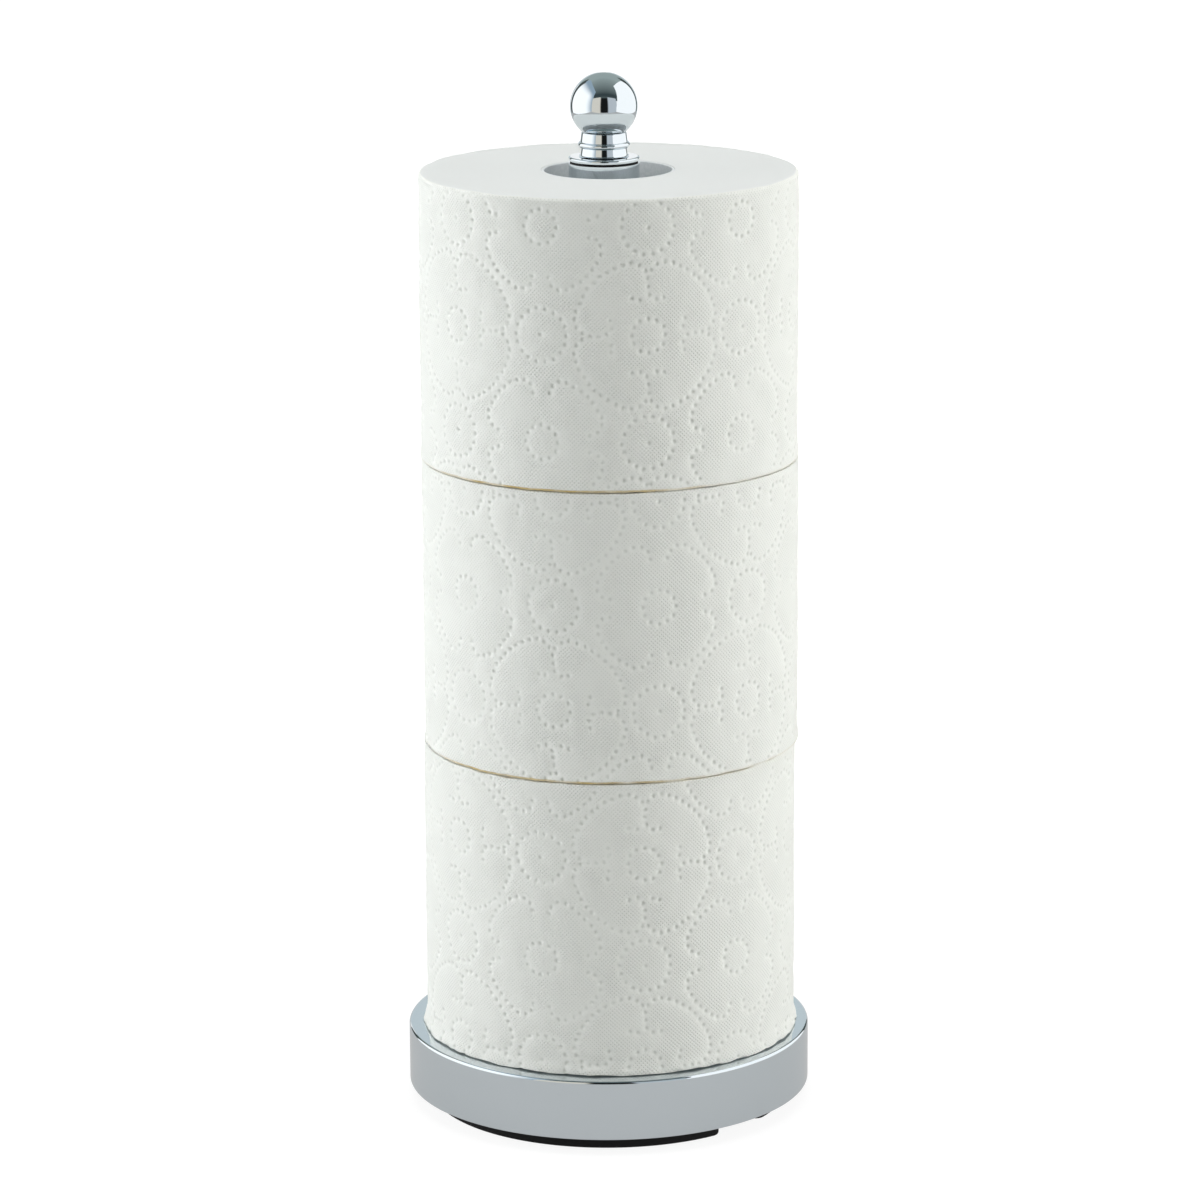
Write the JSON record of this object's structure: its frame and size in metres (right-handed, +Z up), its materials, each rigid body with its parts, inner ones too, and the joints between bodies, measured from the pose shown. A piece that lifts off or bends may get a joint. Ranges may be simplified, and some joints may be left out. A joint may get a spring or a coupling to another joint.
{
  "type": "toilet paper stand",
  "caption": "Upright toilet paper stand: weighted round chrome base on a rubber foot ring, post with a ball finial, and spare paper rolls stacked over the post to lift off one by one.",
  "frame": {"origin": "on the floor, under the middle of the round base", "axes": "+Z up along the post; -Y is the front, from which the picture is taken; +X is to the right seen from the front"},
  "size_m": [0.13, 0.13, 0.334],
  "materials": {
    "chrome": "polished",
    "zinc_steel": "satin",
    "cast_iron": "matte",
    "rubber": "matte",
    "black_plastic": "matte",
    "tissue": "matte",
    "cardboard": "matte"
  },
  "bodies": {
    "stand": {"foot_ring": "rubber", "base_shell": "chrome", "base_weight": "cast_iron", "bottom_cover": "black_plastic", "bolt_washer": "zinc_steel", "spring_washer": "zinc_steel", "base_bolt": "zinc_steel", "post_tube": "chrome", "post_lower_plug": "zinc_steel", "post_upper_plug": "zinc_steel", "finial_collar": "chrome", "finial_neck": "chrome", "finial_ball": "chrome", "finial_stud": "zinc_steel"},
    "lower_core": {"lower_roll_core": "cardboard"},
    "lower_paper": {"lower_roll_paper": "tissue"},
    "middle_core": {"middle_roll_core": "cardboard"},
    "middle_paper": {"middle_roll_paper": "tissue"},
    "upper_core": {"upper_roll_core": "cardboard"},
    "upper_paper": {"upper_roll_paper": "tissue"}
  },
  "joints": [
    {"name": "lower_roll_lift", "type": "slide", "parent": "stand", "child": "lower_core", "axis": [0, 0, 1], "range_m": [0, 0.318]},
    {"name": "lower_roll_turn", "type": "hinge", "parent": "lower_core", "child": "lower_paper", "pos_m": [0.00065, 0, 0.02505], "axis": [0, 0, 1], "continuous": true},
    {"name": "middle_roll_lift", "type": "slide", "parent": "lower_core", "child": "middle_core", "axis": [0, 0, 1], "range_m": [0, 0.225]},
    {"name": "middle_roll_turn", "type": "hinge", "parent": "middle_core", "child": "middle_paper", "pos_m": [0.0012, 0, 0.12035], "axis": [0, 0, 1], "continuous": true},
    {"name": "upper_roll_lift", "type": "slide", "parent": "middle_core", "child": "upper_core", "axis": [0, 0, 1], "range_m": [0, 0.132]},
    {"name": "upper_roll_turn", "type": "hinge", "parent": "upper_core", "child": "upper_paper", "pos_m": [0.0012, 0, 0.21285], "axis": [0, 0, 1], "continuous": true}
  ]
}
